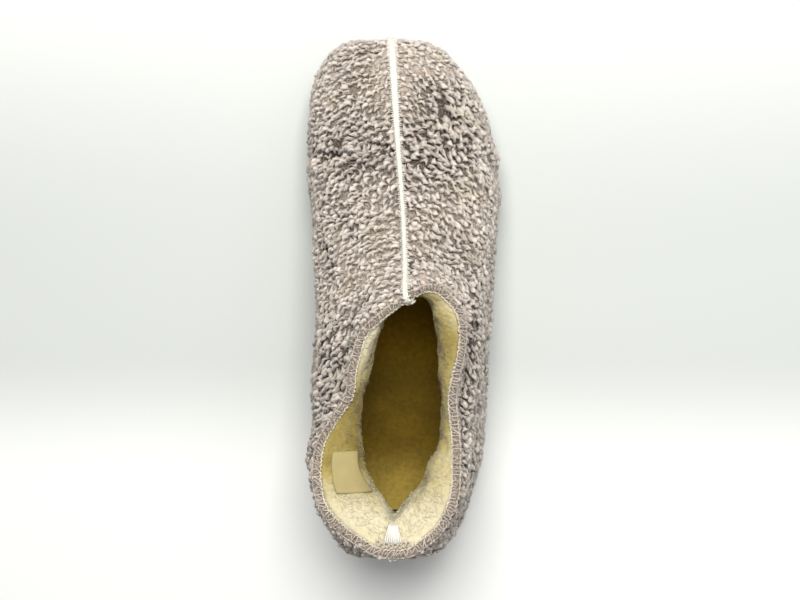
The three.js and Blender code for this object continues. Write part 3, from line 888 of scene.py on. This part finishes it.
def woolLoop(ribsPerSide, down):
    # the lining's surface, from the collar's edge (down 0) over its crest to the footbed (down 1):
    # points, sides, places around, and how far each point lies below the edge
    around = np.linspace(0, 1, ribsPerSide + 1)
    edgePoints, edgeNormals, sides, arounds = bootLoop(ribsPerSide, np.array([0.12, 0.3, 0.99, 1.0]))
    edge = edgePoints[3] - edgeNormals[3] * (boot["collarWall"] - wool["tuck"])
    wall = edgePoints[1] - edgeNormals[1] * (boot["wall"] + 2)
    foot = edgePoints[0] - edgeNormals[0] * boot["wall"]
    crest = np.concatenate([ringCrossings(woolCrest, 1, around),
                            ringCrossings(woolCrest, -1, around)[-2:0:-1]])
    share = np.clip(np.asarray(down) / wool["crestAt"], 0, 1)[:, None, None]
    aside = (1 - (1 - share) ** 2) ** 0.72
    fall = 1 - np.sqrt(np.clip(1 - share ** 2.2, 0, 1))
    above = edge + (crest - edge) * np.concatenate([aside, aside, fall * 0.55 + 0.45 * share], -1)
    under = np.clip((np.asarray(down) - wool["crestAt"]) / (1 - wool["crestAt"]), 0, 1)[:, None, None]
    below = crest * (1 - under) ** 2 + 2 * wall * under * (1 - under) + foot * under ** 2
    points = np.where(share < 1, above, below)
    return points, sides, arounds, edge[None, :, 2] - points[..., 2]


# Where the wool is more or less shaded than its depth says, from the photograph, in mm over the plan
woolShades = table("name place reach age", (
    ("jog of the inner side", (-28, -68), 18, 0.46),
    ("throat, inner side", (-22, -24), 20, -0.5),
    ("outer side of the ankle", (22, -50), 15, 0.22),
    ("throat, outer side", (24, -28), 13, 0.2),
    ("behind the label", (-30, -90), 13, 0.2),
    ("rear of the outer side", (24, -88), 12, -0.12),
))


def woolShadeAndWear(points, down):
    # painted shade of the boot's inside: light at the heel, shaded on the throat's sides, darkest below the
    # crest, where the trodden wool is also yellower
    heel = np.clip((-90 - points[..., 1]) / 24, 0, 1)
    depth = np.asarray(down)[:, None] / wool["crestAt"]
    throat = 0.3 + 0.38 * np.clip(depth, 0, 1) + 0.5 * np.clip(depth - 1, 0, 1)
    back = 0.02 + 0.16 * np.clip(depth - 0.5, 0, 0.5) + 0.8 * np.clip(depth - 1, 0, 1)
    patches = 0.16 * cloudNoise(points, 9, 41) + 0.08 * cloudNoise(points, 3.5, 42)
    placed = patchSum(points, woolShades, "age")
    return np.clip(throat * (1 - heel) + back * heel + placed + patches * (1 - 0.8 * heel), 0, 1)


def makeLining():
    down = np.linspace(1, 0, wool["rows"])
    points, _, _, below = woolLoop(wool["ribsPerSide"], down)
    normals = -gridNormals(points, -down, True)
    relief = 1.1 * cloudNoise(points, 9, 8) + 0.8 * cloudNoise(points, 4.5, 9)
    relief += 0.4 * cloudNoise(points, 2.2, 10)
    fromSeam = np.linalg.norm(points - points[:, wool["ribsPerSide"]:wool["ribsPerSide"] + 1], axis=-1)
    reaching = np.clip((below - 4) / 4, 0, 1) * np.clip((42 - below) / 10, 0, 1)
    relief -= wool["cleft"] * reaching * np.exp(-(fromSeam / 2.4) ** 2)
    front = points + normals * (relief * np.clip(below / 3, 0.2, 1))[..., None]
    behindUp = np.linspace(1, 0.12, 14)
    behind, behindNormals, _, _ = bootLoop(wool["ribsPerSide"], behindUp)
    behind = behind - behindNormals * (wallAt(behindUp)[:, None, None] - wool["behind"])
    rows = np.concatenate([front, behind])
    age = woolShadeAndWear(points, down)
    obj = makeMesh("wool_lining", rows, loopFaces(len(rows), rows.shape[1], True))
    setAttributes(obj, age=np.concatenate([age, np.full(behind.shape[:2], 0.5)]))
    faceOutward(obj)
    dress(obj, finishes["wool"])
    carrier = makeMesh("hair carrier", front, loopFaces(len(down), front.shape[1], False))
    atCrest = np.exp(-((down[:, None] - wool["crestAt"]) / 0.09) ** 2)
    cover = (below > 0.6) * np.clip(np.clip(1.7 - below / 16, 0.1, 0.75) + atCrest, 0, 1)
    downhill = np.stack([np.zeros_like(below), np.full_like(below, -0.2), np.full_like(below, -1.0)], -1)
    flow = unit(downhill + 1.6 * cloudNoise(points, 6, 13)[..., None] * np.cross(normals, downhill))
    flow = unit(flow - normals * (flow * normals).sum(-1, keepdims=True))
    size = 1 + 0.35 * atCrest * np.ones_like(below)
    # the hairs take three quarters of the wall's painted shade
    setAttributes(carrier, rise=normals, flow=flow, age=0.75 * age, cover=cover, zone=0, size=size)
    path = np.array([[-0.4, 0.0, -0.03], [0.05, 0.08, 0.09], [0.5, -0.04, 0.05]]) * wool["hairLength"]
    hair = makeStrand("wool hair", path, wool["hairRadius"] * np.array([1, 1.2, 0.5]), 3)
    hairs = coverWith("wool_hairs", carrier, True, shapes=hair, spacing=wool["hairSpacing"] * mm,
        smallest=0.55, largest=1.2, lean=0.3, turn=1.0, zone=0, seed=9, finish=finishes["wool"])
    dress(hairs, None)
    drop(carrier)


# Collar edge: yarn stitched over a soft roll all round the opening
collarEdge = {
    "halfWidth": 1.9,
    "rise": 1.2,
    "outerDrop": 3.6,
    "innerDrop": 2.4,
    "yarn": 0.27,
    "yarnPitch": 1.5,
    "toothPitch": 2.1,
    "fuzzSpacing": 1.4,
}


def collarFrame(count):
    # evenly spaced points along the middle of the collar's edge, with along, across and rise vectors
    ribsPerSide = 200
    up = np.linspace(0.97, 1, 4)
    outer, normals, _, _ = bootLoop(ribsPerSide, up)
    centre = outer[-1] - normals[-1] * (boot["collarWall"] / 2 - 0.4)
    closed = np.concatenate([centre, centre[:1]])
    length = lengthAlong(closed)
    place = np.linspace(0, length[-1], count, endpoint=False)
    middle = resample(place, length, closed)
    outward = np.concatenate([normals[-1], normals[-1][:1]])
    across = unit(resample(place, length, outward))
    along = unit(np.roll(middle, -1, 0) - np.roll(middle, 1, 0))
    rise = unit(np.cross(along, across))
    rise *= np.sign(rise[:, 2:3])
    across = unit(across - along * (across * along).sum(-1, keepdims=True))
    return middle, along, across, rise, length[-1]


def makeCollarEdge():
    middle, along, across, rise, total = collarFrame(300)
    sides = 12
    section = []
    for k in range(sides):
        turn = 2 * math.pi * k / sides
        tall = collarEdge["outerDrop"] if math.sin(turn) < 0 else collarEdge["rise"]
        section.append(middle + across * collarEdge["halfWidth"] * math.cos(turn) + rise * math.sin(turn)
                       * tall)
    rows = np.stack(section)
    lumps = 0.45 * cloudNoise(rows, 3.0, 4) + 0.25 * cloudNoise(rows, 1.3, 6)
    centre = middle[None] - rise[None] * 1.0
    rows = rows + unit(rows - centre) * lumps[..., None]
    roll = makeMesh("collar_roll", rows, loopFaces(sides, len(middle), True))
    faceOutward(roll)
    setAttributes(roll, lift=0.18, tint=0.4, age=0.5, rise=[v.normal for v in roll.data.vertices],
                  flow=np.broadcast_to(-along[None], rows.shape), cover=1, zone=0, size=1)
    path = np.array([[0.0, 0.0, 0.0], [0.8, 0.1, 0.5]]) * fuzz["length"]
    fibre = makeStrand("collar fibre", path, fuzz["radius"] * np.array([1, 0.5]), 3)
    fluff = coverWith("collar_fuzz", roll, True, shapes=fibre, spacing=collarEdge["fuzzSpacing"] * mm,
        smallest=0.5, largest=1.1, lean=0.4, turn=3.1, zone=0, seed=8, finish=finishes["fleece"])
    dress(fluff, None)
    dress(roll, finishes["fleece"])

    wide = collarEdge["halfWidth"] + 0.15
    over = np.array([[-0.9, -wide, -collarEdge["outerDrop"] * 0.8], [-0.5, -wide * 0.95, -0.6],
                     [-0.1, -wide * 0.55, collarEdge["rise"] + 0.1],
                     [0.25, 0.1, collarEdge["rise"] + 0.3], [0.5, wide * 0.6, collarEdge["rise"] + 0.05],
                     [0.75, wide * 0.98, -0.5], [1.0, wide, -collarEdge["outerDrop"]]])
    tooth = np.array([[-1.0, -0.5, -0.3], [-0.55, -0.1, 0.25], [0.0, 0.15, 0.4], [0.55, -0.1, 0.25],
                      [1.0, -0.5, -0.3]])
    courses = (
        # name, shape, pitch, offset across and up, finish, turn
        ("overlock_yarn", over, collarEdge["yarnPitch"], 0.0, 0.0, "greigeThread", 0.75, collarEdge["yarn"]),
        ("overlock_inner_chain", tooth, collarEdge["toothPitch"], 0.2 - wide, 1.0, "creamThread", 0.5, 0.38),
        ("overlock_outer_chain", tooth * np.array([1.2, -1, 1]), collarEdge["toothPitch"], wide, -0.4,
         "greigeThread", 0.6, 0.36),
    )
    for name, path, pitch, aside, above, finish, turn, radius in courses:
        count = int(total / pitch)
        middle, along, across, rise, _ = collarFrame(count)
        carrier = makeMesh("collar points", middle + across * aside + rise * above, [])
        setAttributes(carrier, rise=rise, flow=-along, zone=0, size=1)
        stitch = makeStrand(name + " stitch", path, radius, 5)
        stitches = coverWith(name, carrier, False, shapes=stitch, spacing=0.001, smallest=0.8, largest=1.25,
            lean=0.28, turn=turn, zone=0, seed=15, finish=finishes[finish])
        dress(stitches, None)
        drop(carrier)


# Seam cord and the fine zigzag stitches beside it
seamCord = {"halfHeight": 1.2, "rows": 280, "stitchPitch": 1.3, "toothReach": 1.25, "tooth": 0.34}


def seamFrame(around, count, fromUp, toUp, overEdge):
    # points up the middle of a seam, and on over the collar's edge, with along, across and outward vectors
    up = np.linspace(fromUp, toUp, 400)
    loop, normals, _, _ = bootLoop(60, up)
    column = 0 if around == 0 else 60
    outward = normals[:, column]
    seat = loop[:, column] - outward * boot["grooveDepth"]
    if overEdge:
        edge, edgeNormals, _, _ = bootLoop(60, np.array([0.99, 1.0]))
        top, out = edge[-1, column], edgeNormals[-1, column]
        climb = unit(edge[-1, column] - edge[0, column])
        overTop = [top - out * inward + climb * above for inward,
                   above in ((0, 0.3), (1.2, 0.9), (3.2, 0.8), (5.2, -0.6))]
        seat = np.concatenate([seat, overTop])
        outward = np.concatenate([outward, [unit(out + climb * 0.5), climb, climb, unit(climb - out * 0.6)]])
    length = lengthAlong(seat)
    place = np.linspace(0, length[-1], count)
    seat = resample(place, length, seat)
    outward = unit(resample(place, length, outward))
    along = unit(np.gradient(seat, axis=0))
    outward = unit(outward - along * (outward * along).sum(-1, keepdims=True))
    return seat, along, np.cross(along, outward), outward, length[-1]


def makeSeam(name, around, fromUp, toUp, overEdge, halfWidths):
    count = seamCord["rows"]
    seat, along, across, outward, total = seamFrame(around, count, fromUp, toUp, overEdge)
    wide = np.interp(np.linspace(0, 1, count), np.linspace(0, 1, len(halfWidths)), halfWidths)
    ends = np.minimum(np.arange(count), np.arange(count)[::-1])
    taper = np.sqrt(np.clip((ends + 0.4) / 4, 0, 1))
    sides = 14
    weave = 0.07 * np.sin(np.arange(count) * total / count * 2 * math.pi / 1.5)
    rows = []
    for k in range(sides):
        turn = 2 * math.pi * k / sides
        swell = taper * (1 + 0.05 * math.sin(3 * turn)) + weave * abs(math.cos(turn))
        rows.append(seat + outward * (boot["seatGap"] + seamCord["halfHeight"])
                    + across * (wide * swell * math.cos(turn))[:, None]
                    + outward * (seamCord["halfHeight"] * swell * math.sin(turn))[:, None])
    points = np.stack(rows, 1)
    faces = loopFaces(count, sides, False)
    faces.append(tuple(range(sides)))
    faces.append(tuple((count - 1) * sides + k for k in range(sides)))
    cord = makeMesh(name, points, faces)
    faceOutward(cord)
    spots = np.linspace(0, total, count)
    turns = 2 * math.pi * np.arange(sides) / sides
    strand = np.stack(np.broadcast_arrays(np.cos(turns)[None], np.sin(turns)[None], spots[:, None]), -1)
    setAttributes(cord, strand=strand, tint=0.6)
    dress(cord, finishes["cotton"], (name,))

    count = int(total / seamCord["stitchPitch"])
    seat, along, across, outward, _ = seamFrame(around, count, fromUp, toUp, overEdge)
    wide = np.interp(np.linspace(0, 1, count), np.linspace(0, 1, len(halfWidths)), halfWidths)[:, None]
    slant = 0.3 * np.where(np.arange(count) % 2, 1, -1)[:, None]
    spots = np.concatenate([seat + across * side * (wide + 0.15) + outward * 2.0 for side in (-1, 1)])
    flows = np.concatenate([unit(across * side + along * slant) for side in (-1, 1)])
    rises = np.concatenate([unit(outward + across * side * 0.4) for side in (-1, 1)])
    carrier = makeMesh("seam points", spots, [])
    setAttributes(carrier, rise=rises, flow=flows, zone=0, size=1)
    reach = seamCord["toothReach"]
    path = np.array([[-0.8 * reach, 0, 0.3], [-0.3 * reach, 0.06, 0.42], [0.45 * reach, 0, 0.2],
                     [reach, -0.05, -0.5]])
    tooth = makeStrand(name + " tooth", path, seamCord["tooth"] * np.array([0.9, 1, 1, 0.8]), 4)
    stitches = coverWith(name.replace("_cord", "_stitches"), carrier, False, shapes=tooth, spacing=0.001,
        smallest=0.85, largest=1.25, lean=0.15, turn=0.3, zone=0, seed=23, finish=finishes["whiteThread"])
    dress(stitches, None)
    drop(carrier)


def soleLoop(inset, ribsPerSide=90):
    # the upper's bottom edge, drawn in all round
    points, normals, _, _ = bootLoop(ribsPerSide, np.array([0.0, 0.01]))
    level = unit(normals[0] * np.array([1, 1, 0]))
    return points[0] - level * inset


def ladderCap(start, width):
    faces = []
    for i in range(width // 2):
        left = (width - i) % width
        quad = [start + i, start + i + 1, start + width - i - 1, start + left]
        faces.append(tuple(dict.fromkeys(quad)))
    return [f for f in faces if len(f) > 2]


def cappedBody(name, rows):
    width = rows.shape[1]
    caps = ladderCap(0, width) + ladderCap((len(rows) - 1) * width, width)
    return faceOutward(makeMesh(name, rows, loopFaces(len(rows), width, False) + caps))


# Outsole: a plain soft sole, rounded below, with a line moulded round its side and grip dots under
# the treads
outsole = {"lip": 1.0, "edge": 2.5, "dotGap": 6.5, "dotRadius": 1.7, "dotHeight": 0.8}


def makeOutsole():
    lip = outsole["lip"]
    top = boot["soleThickness"]
    dot = outsole["dotHeight"]
    sections = ((outsole["edge"] - lip + 0.4, dot), (1.0 - lip, dot + 0.4), (0.35 - lip, dot + 1.1),
                (-lip, dot + 2.0),
                (-lip, 3.7), (0.45 - lip, 3.95), (0.45 - lip, 4.2), (-lip, 4.45), (-lip, top - 0.5),
                (0.4 - lip, top))
    rows = []
    for inset, height in sections:
        loop = soleLoop(inset)
        loop[:, 2] = undersideHeight(loop[:, 1]) + height
        rows.append(loop)
    obj = cappedBody("outsole_body", np.stack(rows))
    dress(obj, finishes["sole"], ("outsole",))
    outline = soleLoop(outsole["edge"] + outsole["dotRadius"] + 1.5)
    spots = []
    step = outsole["dotGap"]
    for row in range(-24, 25):
        for column in range(-10, 11):
            x = (column + 0.5 * (row % 2)) * step
            y = row * step * 0.866
            half = len(outline) // 2
            right = np.interp(-y, -outline[:half + 1, 1], outline[:half + 1, 0])
            left = np.interp(-y, -outline[half:, 1][::-1], outline[half:, 0][::-1])
            share = 0.5 - y / boot["length"]
            onTread = 0.1 < share < 0.47 or 0.68 < share < 0.94
            if left < x < right and onTread:
                spots.append((x, y, float(undersideHeight(y)) + dot))
    carrier = makeMesh("dot points", spots, [])
    down = np.tile([0.0, 0.0, -1.0], (len(spots), 1))
    ahead = np.tile([0.0, 1.0, 0.0], (len(spots), 1))
    setAttributes(carrier, rise=down, flow=ahead, zone=0, size=1)
    path = np.array([[0, 0, -0.3], [0, 0, dot * 0.55], [0, 0, dot * 0.97]])
    shape = makeStrand("grip dot", path, outsole["dotRadius"] * np.array([1, 0.95, 0.6]), 8)
    dots = coverWith("grip_dots", carrier, False, shapes=shape, spacing=0.001, smallest=1.0, largest=1.0,
        lean=0.0, turn=0.0, zone=0, seed=2, finish=finishes["sole"])
    dress(dots, None)
    drop(carrier)


# Insole: a wool footbed, closer and flatter than the wall's wool
footbed = {"side": 7.4, "thickness": 7.0, "rings": 22, "rounding": 2.4}


def makeInsole():
    ribsPerSide = 90
    outline = soleLoop(footbed["side"], ribsPerSide)
    width = len(outline)
    mirror = outline[(width - np.arange(width)) % width]
    spine = (outline + mirror) / 2
    rows = []
    base = boot["soleThickness"] + boot["seatGap"]
    for height, shares in ((0.0, (0.98, 0.5, 0.0)),
                           (footbed["thickness"], tuple(np.linspace(0, 0.98, footbed["rings"])))):
        for share in shares:
            loop = outline + (spine - outline) * share
            if height > 0:
                edge = min(share * 40 / footbed["rounding"], 1)
                lowered = footbed["rounding"] * (1 - math.sqrt(1 - (1 - edge) ** 2))
                plan = loop * np.array([1, 1, 0])
                relief = 0.5 * cloudNoise(plan, 3, 15) + 0.5 * cloudNoise(plan, 16, 17)
                floor = undersideHeight(loop[:, 1]) + base + height - lowered - 0.6
                loop[:, 2] = floor + relief * min(share * 8, 1)
            else:
                loop[:, 2] = undersideHeight(loop[:, 1]) + base
            rows.append(loop)
    obj = cappedBody("insole_footbed", np.stack(rows))
    dress(obj, finishes["footbed"], ("insole",))


def climbedBelow(points):
    # how far each point of the lining's rows lies below the collar's edge, along the wool
    steps = np.linalg.norm(np.diff(points, axis=0), axis=-1)[::-1]
    return np.concatenate([np.cumsum(steps, axis=0)[::-1], np.zeros((1, points.shape[1]))])


# Bare ribbon sewn to the lining, inner side near the heel
ribbon = {"length": 20.0, "drop": 17.0, "fromCollar": 8.0, "fromHeel": 41.0, "thickness": 0.6, "columns": 24,
          "rows": 21}


def makeRibbon():
    ribs = 220
    down = np.linspace(0.75, 0, 90)
    points, sides, _, _ = woolLoop(ribs, down)
    normals = -gridNormals(points, -down, True)
    placed = np.concatenate([points, normals], -1)
    kept = np.where(sides < 0)[0][:130]  # the inner side's rear ribs
    middleY = bootRings[-1]["back"] * boot["length"] + ribbon["fromHeel"]
    targets = middleY + (0.5 - np.linspace(0, 1, ribbon["columns"])) * ribbon["length"]
    rows = []
    climbed = climbedBelow(points)
    for depth in ribbon["fromCollar"] + ribbon["drop"] * np.linspace(0, 1, ribbon["rows"]):
        both = np.concatenate([resample([-depth], -climbed[:, c], placed[:, c]) for c in kept])
        both = both[np.argsort(both[:, 1])]
        rows.append(resample(targets, both[:, 1], both))
    grid = np.stack(rows)
    face = grid[..., :3]
    outs = unit(grid[..., 3:])
    columns, count = ribbon["columns"], ribbon["rows"]
    pucker = 0.12 * np.sin(np.linspace(0, 19, columns))[None] * np.linspace(1, 0.2, count)[:, None]
    back = face - outs * 0.8
    front = face + outs * (1.0 + ribbon["thickness"] + pucker)[..., None]
    points = np.concatenate([back.reshape(-1, 3), front.reshape(-1, 3)])
    size = count * columns
    faces = [tuple(f) for f in gridFaces(count, columns)]
    faces += [tuple(size + v for v in f)[::-1] for f in faces]
    rim = ([i for i in range(columns)] + [r * columns + columns - 1 for r in range(1, count)]
           + [(count - 1) * columns + i for i in range(columns - 2, -1, -1)]
           + [r * columns for r in range(count - 2, 0, -1)])
    for a, b in zip(rim, rim[1:] + rim[:1]):
        faces.append((b, a, size + a, size + b))
    obj = makeMesh("ribbon_label", points, faces)
    faceOutward(obj)
    dress(obj, finishes["ribbon"], ("lining_label",))


# Fan of white threads where the back seam ends inside the collar
fan = {"threads": 9, "spread": 8.0, "length": 8.5, "radius": 0.42, "fromCollar": 3.2, "knots": 8}


def makeFan():
    ribs = 200
    down = np.linspace(0.75, 0, 120)
    points = woolLoop(ribs, down)[0]
    normals = -gridNormals(points, -down, True)
    climbed = climbedBelow(points)[:, ribs]
    window = slice(ribs - 40, ribs + 41)
    offsets = lengthAlong(points[-1, window])
    offsets -= offsets[40]

    def onWool(sideways, depth, lift):
        row = int(np.argmin(abs(climbed - depth)))
        place = np.array([np.interp(sideways, offsets, points[row, window, a]) for a in range(3)])
        out = unit(np.array([np.interp(sideways, offsets, normals[row, window, a]) for a in range(3)]))
        return place + out * lift

    def thread(name, path, radius, tint):
        obj, strand = sweptThread(name, path, radius, 6)
        setAttributes(obj, strand=strand, tint=tint)
        return obj

    threads = []
    for k in range(fan["threads"]):
        share = k / (fan["threads"] - 1) - 0.5
        path = [onWool(share * fan["spread"] * (1.05 - 0.45 * t), fan["fromCollar"] + fan["length"] * t,
                       2.2 + 0.6 * math.sin(math.pi * t)) for t in np.linspace(0, 1, 8)]
        threads.append(thread(f"fan thread {k}", path, fan["radius"], 0.3 + 0.4 * (k % 2)))
    knots = []
    for k in range(fan["knots"]):
        share = k / (fan["knots"] - 1) - 0.5
        middle = share * 15
        path = [onWool(middle + 1.1 * math.cos(turn), 2.0 + 1.0 * math.sin(turn) + 0.5 * (k % 2), 1.9)
                for turn in np.linspace(0, 5.4, 8)]
        knots.append(thread(f"heel knot {k}", path, 0.45, 0.5))
    for name, parts, finish in (("heel_thread_fan", threads, "whiteThread"),
                                ("heel_knots", knots, "greigeThread")):
        with bpy.context.temp_override(active_object=parts[0], selected_editable_objects=parts):
            bpy.ops.object.join()
        parts[0].name = name
        dress(parts[0], finishes[finish])


makeBacking()
print("backing cloth made")
pileCarrier = makePile()
makeFuzz(pileCarrier)
drop(pileCarrier)
print("pile made")
makeLining()
print("lining made")
makeCollarEdge()
makeSeam("front_seam_cord", 0, 0.02, 0.97, True, (1.6, 1.8, 2.0, 1.85, 1.4, 1.1, 1.05, 1.1, 1.5))
makeSeam("back_seam_cord", 1, 0.02, 0.97, False, (1.4, 1.2, 1.2, 1.3))
print("edges and seams made")
makeOutsole()
makeInsole()
makeRibbon()
makeFan()
print("sole, insole, label and heel threads made")

# Stage, camera and light
stage = {
    "floorPale": "#e6e8e7",
    "floorShadeGrey": "#c5c9c7",
    "cameraHeight": 800.0,  # mm over the floor, as far as the photograph's perspective asks
    "cameraAside": 35.0,  # mm to the outer side
    "aim": (-0.8, -6.5, 50.0),
    "lens": 62.4,
}


def paperFloor():
    # a flat pale paper sheet with a painted band of grey shade across it, paler towards both ends
    material, add = newMaterial("pale paper sheet", 0.9)
    place = add("ShaderNodeTexCoord").outputs["Object"]
    along = add("ShaderNodeSeparateXYZ", {0: place}).outputs[1]
    ahead = spanned(add, along, 0.0, 1.0, 0.03, 0.27, "SMOOTHSTEP")
    behind = spanned(add, along, 0.0, 1.0, -0.035, -0.115, "SMOOTHSTEP")
    ends = add("ShaderNodeMath", {0: ahead, 1: behind}, operation="MAXIMUM")
    return joinShader(material, blend(add, ends, stage["floorShadeGrey"], stage["floorPale"]).outputs[2])


def makeStage():
    floor = makeMesh("floor", [(-3000, -3000, 0), (3000, -3000, 0), (3000, 3000, 0), (-3000, 3000, 0)],
                     [(0, 1, 2, 3)], False)
    floor.data.materials.append(paperFloor())
    camera = bpy.data.objects.new("camera", bpy.data.cameras.new("camera"))
    collection.objects.link(camera)
    camera.data.lens = stage["lens"]
    camera.data.sensor_width = 36
    aim = Vector(stage["aim"]) * mm
    above = stage["cameraHeight"] - stage["aim"][2]
    camera.location = aim + Vector((stage["cameraAside"], 0, above)) * mm
    camera.rotation_euler = (0, math.atan2(stage["cameraAside"], above), 0)
    bpy.context.scene.camera = camera


lights = table("name place size power colour", (
    ("high softbox on the toe side", (0.05, 0.49, 1.3), 0.7, 24.0, "#fffdf8"),
    ("overhead panel", (0.4, 0.1, 1.35), 1.4, 5.5, "#ffffff"),
))


def makeLights():
    for light in lights:
        lamp = bpy.data.lights.new(light["name"], "AREA")
        lamp.size = light["size"]
        lamp.energy = light["power"]
        lamp.color = linear(light["colour"])[:3]
        obj = bpy.data.objects.new(light["name"], lamp)
        obj.location = light["place"]
        aim = Vector((0, 0, 0.05)) - Vector(light["place"])
        obj.rotation_euler = aim.to_track_quat("-Z", "Y").to_euler()
        collection.objects.link(obj)
    world = bpy.data.worlds.new("soft room")
    world.use_nodes = True
    world.node_tree.nodes["Background"].inputs["Color"].default_value = linear("#f4f5f6")
    world.node_tree.nodes["Background"].inputs["Strength"].default_value = 0.21
    bpy.context.scene.world = world
    bpy.context.scene.view_settings.view_transform = "Standard"


makeStage()
makeLights()
